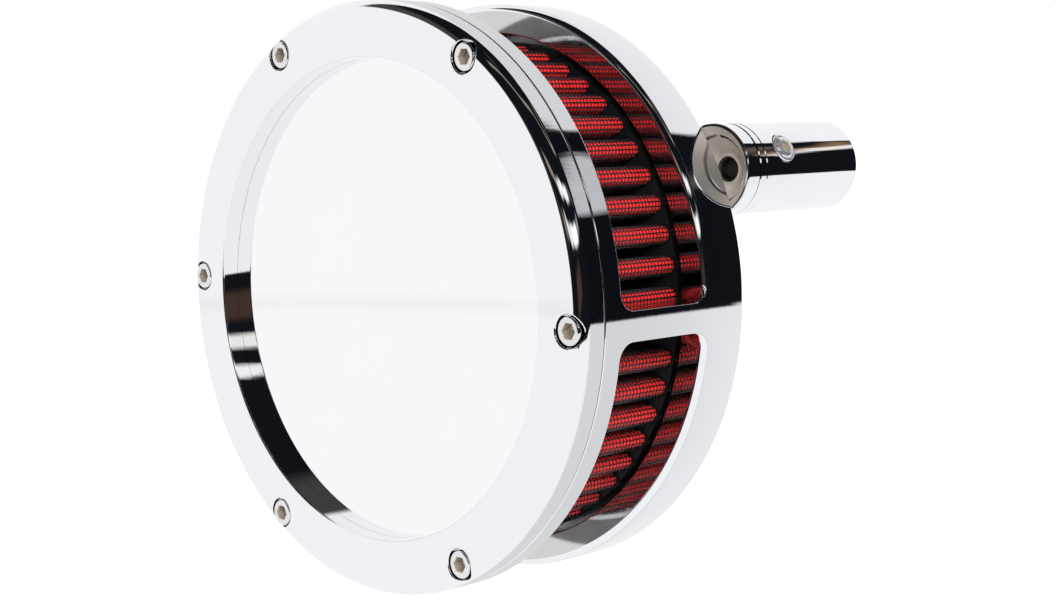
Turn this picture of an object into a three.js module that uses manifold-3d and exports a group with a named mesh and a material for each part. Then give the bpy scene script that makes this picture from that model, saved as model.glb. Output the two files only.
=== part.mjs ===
// A round, open-sided motorcycle air cleaner: a billet cage between a domed cover and a back plate,
// with a pleated cotton filter inside and two tubular standoffs that reach back to the cylinder heads.
// Millimetres. The cleaner's axis is Y: the cover faces -Y, the engine is on the +Y side, and Z is up.
// The origin is the centre of the throttle-body seat, on the back plate's rear face.
import * as THREE from "three";
import { mergeVertices } from "three/addons/utils/BufferGeometryUtils.js";
import Module from "manifold-3d";

// ---- Driving dimensions ----
const FIT_GAP = 0.3; // clearance between pieces that touch
const ROUND_STEPS = 48; // facets round the large turned pieces
const TUBE_STEPS = 24; // facets round the standoffs and ears
const SEAL_STEPS = 32; // facets round the large seals
const SMALL_STEPS = 12; // facets round screws
const CUT_MARGIN = 1; // how far a cutting tool reaches past the body it cuts
const EDGE_BREAK = 0.4; // chamfer on turned edges

const OUTER_RADIUS = 85.6; // cover ring and cage
const COVER_FACE_Y = -70.9;
const COVER_JOINT_Y = -62.4; // cover ring meets the cage
const SHOULDER_RADIUS = 3.2;
const RECESS_RADIUS = 69.5; // opening in the cover ring
const RECESS_DEPTH = 5.5;
const RECESS_BEVEL = 0.5;
const CROWN_RADIUS = 76; // the cover's face is flat up to here and falls slightly beyond
const CROWN_FALL = 0.2;
const INSERT_RADIUS = 72.4;
const INSERT_THICKNESS = 1.6;
const SNAP_RING = { width: 1.6, gapDegrees: 4, inset: 0.1 };

const SCREW_CIRCLE_RADIUS = 80.5;
const SCREW_COUNT = 6;
const CAP_HEAD = { radius: 3.97, height: 4.83, across: 4.0 };
const CAP_HEAD_INSET = 0.2; // below the cover's face
const SOCKET_DEPTH = 0.55; // share of the head's height
const CAP_SHANK_RADIUS = 2.4;
const CAP_SHANK_LENGTH = 9;
const COUNTERBORE_RADIUS = 4.9;

const CAGE_INNER_RADIUS = 77.1;
const CAGE_LIP_RADIUS = 75.7; // inside the front ring
const WINDOW_FRONT_Y = -55.75;
const WINDOW_REAR_Y = -21.6;
const CAGE_REAR_Y = -5.5;
const WINDOW_CORNER = 5;
const STRUT_COUNT = 3;
const STRUT_WIDTH = 8.4;

const FLANGE_RADIUS = 65; // inside the cage's rear flange
const FLANGE_FRONT_Y = -13.2; // the filter's rear cap seals here
const FLANGE_SCREW_CIRCLE = 73.5;
const FLANGE_SCREW = {
  radius: 2,
  headRadius: 4,
  headHeight: 2.2,
  headRim: 0.3,
  headInset: 0.2,
  length: 6.4,
  across: 2.5,
  socketDepth: 1.4,
};

const PLATE_RADIUS = 81;
const PLATE_FRONT_Y = CAGE_REAR_Y + FIT_GAP;
const SPIGOT_FRONT_Y = -9.5;
const SPIGOT_WIDTH = 3.7;
const THROTTLE_RADIUS = 25.5;
const BELL_RADIUS = 3; // rounding at the throttle bore's entry
const THROTTLE_SCREW_CIRCLE = 34;
const THROTTLE_SCREW = { radius: 4.76, height: 6.35, across: 4.76, shank: 3.1, length: 14 };
const FLANGE_SEAL = { radius: 67.2, section: 0.8 };
const THROTTLE_SEAL = { radius: 28.6, section: 1 };
const SEAL_CLEARANCE = 0.4; // groove beyond the seal's section
const SEAL_INSET = 0.1; // below the face it seals

const FILTER_RADIUS = 74.9;
const FILTER_VALLEY_RADIUS = 59;
const PLEAT_COUNT = 52;
const CREST_HALF = 0.13; // flat of a crest, as a share of the pitch
const VALLEY_HALF = 0.1;
const REAR_CAP_THICKNESS = 5.6;
const FRONT_CAP_THICKNESS = 5;
const MESH_THICKNESS = 0.5;
const GAUZE_THICKNESS = 1.5;
const SCREEN_RADIUS = 55.6;
const SCREEN_THICKNESS = 0.8;
const CAP_INNER_RADIUS = SCREEN_RADIUS - 3;

const STANDOFF_X = 73;
const STANDOFF_Z = 39.1;
const STANDOFF_RADIUS = 13.1; // and the back plate's ears
const STANDOFF_LENGTH = 46;
const NECK_RADIUS = 9.8;
const NECK_FRONT_Y = -2.4;
const CUP_MOUTH_RADIUS = STANDOFF_RADIUS - 1.2; // at the back plate's front face
const CUP_FLOOR_RADIUS = 4.6;
const CUP_FLOOR_Y = 1.9;
const WEB_THICKNESS = 3.4;
const BOLT_HOLE_RADIUS = 3.1;
const BOLT_HOLE_CHAMFER = 0.6;
const BREATHER_BORE_RADIUS = 6.4;
const HEAD_SEAL = { radius: 9.5, section: 0.75 };
const PLUG = {
  y: 12.4,
  angle: 29,
  radius: 4.2,
  rim: 0.5,
  height: 1.7,
  stem: 2.4,
  stemLength: 3.4,
  across: 3.2,
  socketDepth: 1.1,
};
const SPOT_FACE_RADIUS = STANDOFF_RADIUS - 1.9; // flat the plug's washer sits on
const WASHER_THICKNESS = 0.8;

// ---- Helpers ----
const wasm = await Module();
wasm.setup();
const deg = THREE.MathUtils.degToRad;

function toSolid(geometry) {
  const bare = geometry.clone();
  bare.deleteAttribute("normal");
  bare.deleteAttribute("uv");
  const merged = mergeVertices(bare, 1e-4);
  return new wasm.Manifold(
    new wasm.Mesh({
      numProp: 3,
      vertProperties: new Float32Array(merged.attributes.position.array),
      triVerts: new Uint32Array(merged.index.array),
    }),
  );
}

function toGeometry(solid) {
  const { vertProperties, triVerts } = solid.getMesh();
  const geometry = new THREE.BufferGeometry();
  geometry.setAttribute("position", new THREE.BufferAttribute(vertProperties, 3));
  geometry.setIndex(new THREE.BufferAttribute(triVerts, 1));
  geometry.computeVertexNormals();
  return geometry;
}

function cut(body, ...tools) {
  const result = tools.reduce((left, tool) => left.subtract(toSolid(tool)), toSolid(body));
  return toGeometry(result);
}

function join(...bodies) {
  const [first, ...rest] = bodies.map(toSolid);
  return toGeometry(rest.reduce((sum, body) => sum.add(body), first));
}

// A body turned about the Y axis. The profile is a closed loop of [radius, y] points, listed so that
// y grows along its outer side.
function turned(profile, steps = ROUND_STEPS) {
  const points = profile.map(([radius, y]) => new THREE.Vector2(radius, y));
  const onAxis = points[0].x === 0 && points.at(-1).x === 0;
  if (!onAxis) points.push(points[0].clone());
  return new THREE.LatheGeometry(points, steps);
}

const disc = (radius, front, rear, steps) =>
  turned([[0, front], [radius, front], [radius, rear], [0, rear]], steps);

const ring = (inner, outer, front, rear, steps) =>
  turned([[inner, front], [outer, front], [outer, rear], [inner, rear]], steps);

const moved = (geometry, x, y, z) => geometry.translate(x, y, z);

// Points on an arc from one angle to another, in degrees, end points included.
function arcPoints(centre, radius, from, to, steps = 5) {
  return Array.from({ length: steps + 1 }, (_, i) => {
    const angle = deg(from + ((to - from) * i) / steps);
    return [centre[0] + radius * Math.cos(angle), centre[1] + radius * Math.sin(angle)];
  });
}

// A hexagonal prism along Y, for sockets. The size is across the flats.
function hexPrism(acrossFlats, front, rear) {
  return disc(acrossFlats / Math.sqrt(3), front, rear, 6);
}

// A closed body through a row of equal loops, each a list of Vector3 that runs the same way round.
function loft(loops) {
  const size = loops[0].length;
  const positions = loops.flatMap((loop) => loop.flatMap((p) => [p.x, p.y, p.z]));
  const index = [];
  for (let i = 0; i < loops.length - 1; i++)
    for (let j = 0; j < size; j++) {
      const a = i * size + j;
      const b = i * size + ((j + 1) % size);
      index.push(a, b + size, b, a, a + size, b + size);
    }
  const last = (loops.length - 1) * size;
  for (let j = 1; j < size - 1; j++) {
    index.push(0, j, j + 1);
    index.push(last, last + j + 1, last + j);
  }
  const geometry = new THREE.BufferGeometry();
  geometry.setAttribute("position", new THREE.Float32BufferAttribute(positions, 3));
  geometry.setIndex(index);
  return geometry;
}

const onCircle = (radius, degrees) => [radius * Math.cos(deg(degrees)), radius * Math.sin(deg(degrees))];

const strutAngles = Array.from({ length: STRUT_COUNT }, (_, i) => (i * 360) / STRUT_COUNT);
const screwAngles = Array.from({ length: SCREW_COUNT }, (_, i) => (i * 360) / SCREW_COUNT);

// ---- Assembly ----
const airCleaner = new THREE.Group();
const finish = {
  chrome: { color: 0xe6e8ee, metalness: 1, roughness: 0.05 },
  screwChrome: { color: 0xd8d8dc, metalness: 1, roughness: 0.12 },
  aluminium: { color: 0xb4b6ba, metalness: 1, roughness: 0.35 },
  cotton: { color: 0xc8181c, metalness: 0, roughness: 0.9 },
  wire: { color: 0x1a1a1c, metalness: 0.4, roughness: 0.45 },
  urethane: { color: 0x0c0c0d, metalness: 0, roughness: 0.55 },
  rubber: { color: 0x111111, metalness: 0, roughness: 0.7 },
};

function add(name, geometry, material, parent = airCleaner) {
  const mesh = new THREE.Mesh(geometry, new THREE.MeshStandardMaterial(finish[material]));
  mesh.name = name;
  parent.add(mesh);
  return mesh;
}

// Cover ring: a slightly domed face that rolls over a rounded shoulder, with a rear rebate for the
// mirror insert and a groove for its snap ring.
const COVER_SCREW_TOP_Y = COVER_FACE_Y + CAP_HEAD_INSET;
const INSERT_FRONT_Y = COVER_FACE_Y + RECESS_DEPTH;
const INSERT_REAR_Y = INSERT_FRONT_Y + INSERT_THICKNESS;
const REBATE_RADIUS = INSERT_RADIUS + FIT_GAP;

function coverRing() {
  const shoulderCentre = [OUTER_RADIUS - SHOULDER_RADIUS, COVER_FACE_Y + CROWN_FALL + SHOULDER_RADIUS];
  const body = turned([
    [RECESS_RADIUS, COVER_FACE_Y + RECESS_BEVEL],
    [RECESS_RADIUS + RECESS_BEVEL, COVER_FACE_Y],
    [CROWN_RADIUS, COVER_FACE_Y],
    ...arcPoints(shoulderCentre, SHOULDER_RADIUS, -90, 0, 4),
    [OUTER_RADIUS, COVER_JOINT_Y],
    [REBATE_RADIUS, COVER_JOINT_Y],
    [REBATE_RADIUS, INSERT_FRONT_Y - FIT_GAP],
    [RECESS_RADIUS, INSERT_FRONT_Y - FIT_GAP],
  ]);
  const headSeatY = COVER_SCREW_TOP_Y + CAP_HEAD.height + FIT_GAP;
  const holes = screwAngles.flatMap((angle) => {
    const [x, z] = onCircle(SCREW_CIRCLE_RADIUS, angle);
    const counterbore = disc(COUNTERBORE_RADIUS, COVER_FACE_Y - CUT_MARGIN, headSeatY, SMALL_STEPS);
    const boreRadius = CAP_SHANK_RADIUS + FIT_GAP;
    const bore = disc(boreRadius, COVER_FACE_Y, COVER_JOINT_Y + CUT_MARGIN, SMALL_STEPS);
    return [moved(counterbore, x, 0, z), moved(bore, x, 0, z)];
  });
  return cut(body, ...holes);
}
add("cover_ring", coverRing(), "chrome");

// Mirror insert: a flat disc that sits behind the cover ring's lip.
add("cover_insert", disc(INSERT_RADIUS, INSERT_FRONT_Y, INSERT_REAR_Y), "chrome");

// Cap screws: socket head, shank, and a hexagonal socket.
function capScrew(head, shankRadius, shankLength, headTopY) {
  const seatY = headTopY + head.height;
  const body = turned(
    [
      [0, headTopY],
      [head.radius - EDGE_BREAK, headTopY],
      [head.radius, headTopY + EDGE_BREAK],
      [head.radius, seatY],
      [shankRadius, seatY],
      [shankRadius, seatY + shankLength],
      [0, seatY + shankLength],
    ],
    SMALL_STEPS,
  );
  const socketFloorY = headTopY + head.height * SOCKET_DEPTH;
  return cut(body, hexPrism(head.across, headTopY - CUT_MARGIN, socketFloorY));
}
screwAngles.forEach((angle, i) => {
  const screw = add(
    "cover_screw_" + (i + 1),
    capScrew(CAP_HEAD, CAP_SHANK_RADIUS, CAP_SHANK_LENGTH, COVER_SCREW_TOP_Y),
    "screwChrome",
  );
  const [x, z] = onCircle(SCREW_CIRCLE_RADIUS, angle);
  screw.position.set(x, 0, z);
});

// Cage: front ring, three struts and a deep rear ring in one piece. Each window is milled through the
// wall between two struts, with rounded corners.
function windowCutter(from, to) {
  const inner = CAGE_LIP_RADIUS - CUT_MARGIN;
  const outer = OUTER_RADIUS + CUT_MARGIN;
  const cornerAngle = THREE.MathUtils.radToDeg(WINDOW_CORNER / OUTER_RADIUS);
  const stations = [];
  const cornerSteps = 4;
  for (let i = 0; i <= cornerSteps; i++) {
    const turn = ((i / cornerSteps) * Math.PI) / 2;
    stations.push([from + cornerAngle * (1 - Math.cos(turn)), WINDOW_CORNER * (1 - Math.sin(turn))]);
  }
  const middle = 10;
  for (let i = 1; i < middle; i++)
    stations.push([from + cornerAngle + ((to - from - 2 * cornerAngle) * i) / middle, 0]);
  for (let i = cornerSteps; i >= 0; i--) stations.push([to + from - stations[i][0], stations[i][1]]);
  return loft(
    stations.map(([angle, inset]) => {
      const front = WINDOW_FRONT_Y + inset;
      const rear = WINDOW_REAR_Y - inset;
      const corner = (radius, y) => {
        const [x, z] = onCircle(radius, angle);
        return new THREE.Vector3(x, y, z);
      };
      return [corner(inner, front), corner(inner, rear), corner(outer, rear), corner(outer, front)];
    }),
  );
}

const flangeScrewAngles = strutAngles.map((angle) => angle + 180 / STRUT_COUNT);

function cage() {
  const front = COVER_JOINT_Y + FIT_GAP;
  const body = turned([
    [CAGE_LIP_RADIUS, front],
    [OUTER_RADIUS, front],
    [OUTER_RADIUS, CAGE_REAR_Y],
    [FLANGE_RADIUS, CAGE_REAR_Y],
    [FLANGE_RADIUS, FLANGE_FRONT_Y],
    [CAGE_INNER_RADIUS, FLANGE_FRONT_Y],
    [CAGE_INNER_RADIUS, WINDOW_FRONT_Y],
    [CAGE_LIP_RADIUS, WINDOW_FRONT_Y],
  ]);
  const halfStrut = THREE.MathUtils.radToDeg(STRUT_WIDTH / 2 / OUTER_RADIUS);
  const windows = strutAngles.map((angle) =>
    windowCutter(angle + halfStrut, angle + 360 / STRUT_COUNT - halfStrut),
  );
  const tapped = screwAngles.map((angle) => {
    const [x, z] = onCircle(SCREW_CIRCLE_RADIUS, angle);
    const depthY = COVER_SCREW_TOP_Y + CAP_HEAD.height + CAP_SHANK_LENGTH + FIT_GAP;
    return moved(disc(CAP_SHANK_RADIUS + FIT_GAP, COVER_JOINT_Y - CUT_MARGIN, depthY, SMALL_STEPS), x, 0, z);
  });
  const rearTapped = flangeScrewAngles.map((angle) => {
    const [x, z] = onCircle(FLANGE_SCREW_CIRCLE, angle);
    const tip = -(FLANGE_SCREW.headHeight + FLANGE_SCREW.length + 2 * FIT_GAP);
    return moved(disc(FLANGE_SCREW.radius + FIT_GAP, tip, PLATE_FRONT_Y, SMALL_STEPS), x, 0, z);
  });
  return cut(body, ...windows, ...tapped, ...rearTapped);
}
add("cage", cage(), "chrome");

// Snap ring: an open ring that holds the mirror insert in the cover ring.
function snapRing() {
  const outer = REBATE_RADIUS - FIT_GAP;
  const shape = new THREE.Shape();
  const gapAngle = deg(SNAP_RING.gapDegrees);
  shape.absarc(0, 0, outer, gapAngle, 2 * Math.PI - gapAngle, false);
  shape.absarc(0, 0, outer - SNAP_RING.width, 2 * Math.PI - gapAngle, gapAngle, true);
  const rearY = COVER_JOINT_Y - SNAP_RING.inset;
  const depth = rearY - INSERT_REAR_Y - FIT_GAP;
  const geometry = new THREE.ExtrudeGeometry(shape, {
    depth,
    curveSegments: ROUND_STEPS / 2,
    bevelEnabled: false,
  });
  return moved(geometry.rotateX(Math.PI / 2).rotateY(Math.PI / 2), 0, rearY, 0);
}
add("insert_snap_ring", snapRing(), "aluminium");

// An O-ring about the Y axis just under a face, and the groove it lies in. The way in from the face is
// +1 or -1 along Y.
function oRing({ radius, section }, faceY, wayIn, steps = SEAL_STEPS) {
  const y = faceY + wayIn * (section + SEAL_INSET);
  return turned(arcPoints([radius, y], section, -90, 210, 5), steps);
}

function sealGroove({ radius, section }, faceY, wayIn) {
  const halfWidth = section + SEAL_CLEARANCE;
  const ends = [faceY - wayIn * CUT_MARGIN, faceY + wayIn * (section + halfWidth)];
  return ring(radius - halfWidth, radius + halfWidth, Math.min(...ends), Math.max(...ends));
}

// Back plate: a disc with a centring spigot, a rounded throttle bore and one ear on each side. Each ear
// is as round as its standoff and holds the mouth of a conical cup. Its bore takes the standoff's neck,
// which holds the rest of the cup.
const standoffSides = [["right", 1], ["left", -1]];
const CUP_SLOPE = (CUP_FLOOR_Y - PLATE_FRONT_Y) / (CUP_MOUTH_RADIUS - CUP_FLOOR_RADIUS);
const cupY = (radius) => CUP_FLOOR_Y - (radius - CUP_FLOOR_RADIUS) * CUP_SLOPE;
const throttleScrewAngles = strutAngles.map((angle) => angle + 90);

function backPlate() {
  const bellCentre = [THROTTLE_RADIUS + BELL_RADIUS, PLATE_FRONT_Y + BELL_RADIUS];
  const spigotRadius = FLANGE_RADIUS - FIT_GAP;
  const body = turned([
    ...arcPoints(bellCentre, BELL_RADIUS, 180, 270, 4),
    [spigotRadius - SPIGOT_WIDTH, PLATE_FRONT_Y],
    [spigotRadius - SPIGOT_WIDTH, SPIGOT_FRONT_Y],
    [spigotRadius, SPIGOT_FRONT_Y],
    [spigotRadius, PLATE_FRONT_Y],
    [PLATE_RADIUS, PLATE_FRONT_Y],
    [PLATE_RADIUS, 0],
    [THROTTLE_RADIUS, 0],
  ]);
  const ears = standoffSides.map(([, side]) => {
    const ear = turned(
      [
        [0, PLATE_FRONT_Y],
        [STANDOFF_RADIUS - EDGE_BREAK, PLATE_FRONT_Y],
        [STANDOFF_RADIUS, PLATE_FRONT_Y + EDGE_BREAK],
        [STANDOFF_RADIUS, 0],
        [0, 0],
      ],
      TUBE_STEPS,
    );
    return moved(ear, side * STANDOFF_X, 0, STANDOFF_Z);
  });
  const mouths = standoffSides.map(([, side]) => {
    const bore = NECK_RADIUS + FIT_GAP;
    const mouth = turned(
      [
        [0, PLATE_FRONT_Y - CUT_MARGIN],
        [CUP_MOUTH_RADIUS + CUT_MARGIN, PLATE_FRONT_Y - CUT_MARGIN],
        [CUP_MOUTH_RADIUS, PLATE_FRONT_Y],
        [bore, cupY(bore)],
        [bore, CUT_MARGIN],
        [0, CUT_MARGIN],
      ],
      TUBE_STEPS,
    );
    return moved(mouth, side * STANDOFF_X, 0, STANDOFF_Z);
  });
  const grooves = [sealGroove(FLANGE_SEAL, PLATE_FRONT_Y, 1), sealGroove(THROTTLE_SEAL, 0, -1)];
  const screwHoles = flangeScrewAngles.map((angle) => {
    const [x, z] = onCircle(FLANGE_SCREW_CIRCLE, angle);
    const { radius, headRadius, headHeight, headInset } = FLANGE_SCREW;
    const hole = turned(
      [
        [0, PLATE_FRONT_Y - CUT_MARGIN],
        [radius + FIT_GAP, PLATE_FRONT_Y - CUT_MARGIN],
        [radius + FIT_GAP, -headHeight - 2 * FIT_GAP],
        [headRadius + FIT_GAP, -headInset],
        [headRadius + FIT_GAP, CUT_MARGIN],
        [0, CUT_MARGIN],
      ],
      SMALL_STEPS,
    );
    return moved(hole, x, 0, z);
  });
  const throttleHoles = throttleScrewAngles.map((angle) => {
    const [x, z] = onCircle(THROTTLE_SCREW_CIRCLE, angle);
    const holeRadius = THROTTLE_SCREW.shank + FIT_GAP;
    return moved(disc(holeRadius, PLATE_FRONT_Y - CUT_MARGIN, CUT_MARGIN, SMALL_STEPS), x, 0, z);
  });
  return cut(join(body, ...ears), ...mouths, ...grooves, ...screwHoles, ...throttleHoles);
}
add("back_plate", backPlate(), "chrome");
add("flange_seal", oRing(FLANGE_SEAL, PLATE_FRONT_Y, 1), "rubber");
add("throttle_seal", oRing(THROTTLE_SEAL, 0, -1), "rubber");

// Countersunk screws from behind, through the back plate into the cage's rear flange.
function flatHeadScrew({ radius, headRadius, headHeight, headRim, headInset, length, across, socketDepth }) {
  const body = turned(
    [
      [0, -headHeight - length],
      [radius, -headHeight - length],
      [radius, -headHeight],
      [headRadius, -headInset - headRim],
      [headRadius, -headInset],
      [0, -headInset],
    ],
    SMALL_STEPS,
  );
  return cut(body, hexPrism(across, -headInset - socketDepth, CUT_MARGIN));
}
flangeScrewAngles.forEach((angle, i) => {
  const screw = add("flange_screw_" + (i + 1), flatHeadScrew(FLANGE_SCREW), "aluminium");
  const [x, z] = onCircle(FLANGE_SCREW_CIRCLE, angle);
  screw.position.set(x, 0, z);
});

// Socket screws inside the filter that hold the back plate to the throttle body.
throttleScrewAngles.forEach((angle, i) => {
  const topY = PLATE_FRONT_Y - FIT_GAP - THROTTLE_SCREW.height;
  const { shank, length } = THROTTLE_SCREW;
  const screw = add("throttle_screw_" + (i + 1), capScrew(THROTTLE_SCREW, shank, length, topY), "aluminium");
  const [x, z] = onCircle(THROTTLE_SCREW_CIRCLE, angle);
  screw.position.set(x, 0, z);
});

// Filter element: pleated cotton with a wire mesh on the outside, moulded into a urethane cap at each
// end, round a perforated inner screen.
const FRONT_CAP_Y = COVER_JOINT_Y + FIT_GAP;
const REAR_CAP_Y = FLANGE_FRONT_Y - FIT_GAP;
const MEDIA_FRONT_Y = FRONT_CAP_Y + FRONT_CAP_THICKNESS + FIT_GAP;
const MEDIA_REAR_Y = REAR_CAP_Y - REAR_CAP_THICKNESS - FIT_GAP;

// A pleated sleeve between two star-shaped outlines. Each pleat has a narrow crest and valley, and the
// pleats straddle the struts.
function pleatedSleeve(crestRadius, valleyRadius, thickness) {
  const starPoints = (crest, valley) =>
    Array.from({ length: PLEAT_COUNT }, (_, i) => {
      const pitch = 360 / PLEAT_COUNT;
      const start = (i + 0.5) * pitch;
      return [
        onCircle(crest, start - CREST_HALF * pitch),
        onCircle(crest, start + CREST_HALF * pitch),
        onCircle(valley, start + (0.5 - VALLEY_HALF) * pitch),
        onCircle(valley, start + (0.5 + VALLEY_HALF) * pitch),
      ].map(([x, z]) => new THREE.Vector2(x, z));
    }).flat();
  const shape = new THREE.Shape(starPoints(crestRadius, valleyRadius));
  shape.holes.push(new THREE.Path(starPoints(crestRadius - thickness, valleyRadius - thickness)));
  const depth = MEDIA_REAR_Y - MEDIA_FRONT_Y;
  const geometry = new THREE.ExtrudeGeometry(shape, { depth, bevelEnabled: false });
  return moved(geometry.rotateX(Math.PI / 2), 0, MEDIA_REAR_Y, 0);
}
const GAUZE_RADIUS = FILTER_RADIUS - MESH_THICKNESS - FIT_GAP;
const GAUZE_VALLEY_RADIUS = FILTER_VALLEY_RADIUS - MESH_THICKNESS - FIT_GAP;
add("filter_wire_mesh", pleatedSleeve(FILTER_RADIUS, FILTER_VALLEY_RADIUS, MESH_THICKNESS), "wire");
add("filter_gauze", pleatedSleeve(GAUZE_RADIUS, GAUZE_VALLEY_RADIUS, GAUZE_THICKNESS), "cotton");
const innerScreen = ring(SCREEN_RADIUS - SCREEN_THICKNESS, SCREEN_RADIUS, MEDIA_FRONT_Y, MEDIA_REAR_Y);
add("filter_inner_screen", innerScreen, "wire");

const endCap = (front, rear) =>
  ring(CAP_INNER_RADIUS, FILTER_RADIUS - MESH_THICKNESS, front, rear, PLEAT_COUNT);
add("filter_front_cap", endCap(FRONT_CAP_Y, FRONT_CAP_Y + FRONT_CAP_THICKNESS), "urethane");
add("filter_rear_cap", endCap(REAR_CAP_Y - REAR_CAP_THICKNESS, REAR_CAP_Y), "urethane");

// Standoffs: tubes from the ears back to the cylinder heads. The neck sits in the ear, a web with a bolt
// hole closes the cup, and the breather port on the side is shut by a plug.
function standoff() {
  const webRearY = CUP_FLOOR_Y + WEB_THICKNESS;
  const lipRadius = CUP_FLOOR_RADIUS + (CUP_FLOOR_Y - NECK_FRONT_Y) / CUP_SLOPE;
  const body = turned(
    [
      [lipRadius, NECK_FRONT_Y],
      [NECK_RADIUS, NECK_FRONT_Y],
      [NECK_RADIUS, FIT_GAP],
      [STANDOFF_RADIUS - EDGE_BREAK, FIT_GAP],
      [STANDOFF_RADIUS, FIT_GAP + EDGE_BREAK],
      [STANDOFF_RADIUS, STANDOFF_LENGTH - EDGE_BREAK],
      [STANDOFF_RADIUS - EDGE_BREAK, STANDOFF_LENGTH],
      [BREATHER_BORE_RADIUS, STANDOFF_LENGTH],
      [BREATHER_BORE_RADIUS, webRearY],
      [BOLT_HOLE_RADIUS, webRearY],
      [BOLT_HOLE_RADIUS, CUP_FLOOR_Y + BOLT_HOLE_CHAMFER],
      [BOLT_HOLE_RADIUS + BOLT_HOLE_CHAMFER, CUP_FLOOR_Y],
      [CUP_FLOOR_RADIUS, CUP_FLOOR_Y],
    ],
    TUBE_STEPS,
  );
  const port = disc(PLUG.stem + FIT_GAP, 0, STANDOFF_RADIUS + CUT_MARGIN, SMALL_STEPS);
  const spotFace = disc(PLUG.radius + FIT_GAP, SPOT_FACE_RADIUS, STANDOFF_RADIUS + CUT_MARGIN, SMALL_STEPS);
  const groove = sealGroove(HEAD_SEAL, STANDOFF_LENGTH, -1);
  return cut(body, towardPort(port), towardPort(spotFace), groove);
}

// The breather port looks up and outward. A piece built along +Y from the standoff's axis is turned to
// point that way.
function towardPort(geometry) {
  return geometry.rotateX(Math.PI / 2).rotateY(Math.PI / 2 - deg(PLUG.angle)).translate(0, PLUG.y, 0);
}

// Plug: a low domed head with a hexagonal socket, and a short stem.
function breatherPlug() {
  const { radius, rim, height, stem, stemLength, across, socketDepth } = PLUG;
  const seat = SPOT_FACE_RADIUS + WASHER_THICKNESS + 2 * FIT_GAP;
  const domeSteps = 4;
  const dome = Array.from({ length: domeSteps + 1 }, (_, i) => {
    const turn = ((i / domeSteps) * Math.PI) / 2;
    return [radius * Math.cos(turn), seat + rim + (height - rim) * Math.sin(turn)];
  });
  dome[domeSteps][0] = 0;
  const body = turned(
    [[0, seat - stemLength], [stem, seat - stemLength], [stem, seat], [radius, seat], ...dome],
    SMALL_STEPS,
  );
  const socket = hexPrism(across, seat + height - socketDepth, seat + height + CUT_MARGIN);
  return towardPort(cut(body, socket));
}

function plugWasher() {
  const seat = SPOT_FACE_RADIUS + FIT_GAP;
  return towardPort(ring(PLUG.stem + FIT_GAP, PLUG.radius, seat, seat + WASHER_THICKNESS, SMALL_STEPS));
}

for (const [side, sign] of standoffSides) {
  const group = new THREE.Group();
  group.position.set(sign * STANDOFF_X, 0, STANDOFF_Z);
  group.scale.x = sign;
  airCleaner.add(group);
  add("standoff_" + side, standoff(), "chrome", group);
  add("head_seal_" + side, oRing(HEAD_SEAL, STANDOFF_LENGTH, -1, TUBE_STEPS), "rubber", group);
  add("breather_plug_" + side, breatherPlug(), "screwChrome", group);
  add("plug_washer_" + side, plugWasher(), "aluminium", group);
}

export default airCleaner;
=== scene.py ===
import math

import bmesh
import bpy
import numpy as np
from mathutils import Matrix, Vector


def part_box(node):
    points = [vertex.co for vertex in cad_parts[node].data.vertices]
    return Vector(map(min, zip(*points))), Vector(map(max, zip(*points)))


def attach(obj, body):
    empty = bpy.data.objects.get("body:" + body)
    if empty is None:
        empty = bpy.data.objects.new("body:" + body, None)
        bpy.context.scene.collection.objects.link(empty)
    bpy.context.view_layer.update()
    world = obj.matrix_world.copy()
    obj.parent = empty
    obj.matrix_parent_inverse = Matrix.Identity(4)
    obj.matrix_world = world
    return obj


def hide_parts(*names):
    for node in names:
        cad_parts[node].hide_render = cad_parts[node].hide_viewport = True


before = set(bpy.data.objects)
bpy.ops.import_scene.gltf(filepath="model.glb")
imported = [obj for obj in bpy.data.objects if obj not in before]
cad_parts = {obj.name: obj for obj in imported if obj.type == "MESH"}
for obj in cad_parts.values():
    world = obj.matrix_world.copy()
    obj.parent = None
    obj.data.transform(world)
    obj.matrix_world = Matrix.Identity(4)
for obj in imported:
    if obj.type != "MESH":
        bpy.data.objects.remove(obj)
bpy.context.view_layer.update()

MM = 0.001
TAU = 2 * math.pi
HEXAGON_SIDE = TAU / 6
FIT_GAP = 0.3  # millimetres between pieces that touch

# ---- Sizes read from the frame, in millimetres ----


def corner(node, end, axis):
    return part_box(node)[end]["xyz".index(axis)] / MM


def centre(node):
    low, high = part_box(node)
    return (low + high) / 2 / MM


OUTER_R = corner("cage", 1, "z")
FACE_Y = corner("cover_ring", 0, "y")
JOINT_Y = corner("cover_ring", 1, "y")
CAGE_FRONT_Y = corner("cage", 0, "y")
CAGE_REAR_Y = corner("cage", 1, "y")
PLATE_FRONT_Y = CAGE_REAR_Y + FIT_GAP
INSERT_FRONT_Y = corner("cover_insert", 0, "y")
INSERT_REAR_Y = corner("cover_insert", 1, "y")
INSERT_R = corner("cover_insert", 1, "z")
CREST_R = corner("filter_wire_mesh", 1, "z")
MEDIA_FRONT_Y = corner("filter_wire_mesh", 0, "y")
MEDIA_REAR_Y = corner("filter_wire_mesh", 1, "y")
FRONT_CAP_Y = corner("filter_front_cap", 0, "y")
REAR_CAP_Y = corner("filter_rear_cap", 1, "y")
STANDOFF = centre("standoff_right")
STANDOFF_R = (corner("standoff_right", 1, "x") - corner("standoff_right", 0, "x")) / 2
STANDOFF_END_Y = corner("standoff_right", 1, "y")
HEAD_TOP_Y = corner("cover_screw_1", 0, "y")

# ---- Sizes of the finer shapes, in millimetres ----

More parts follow.
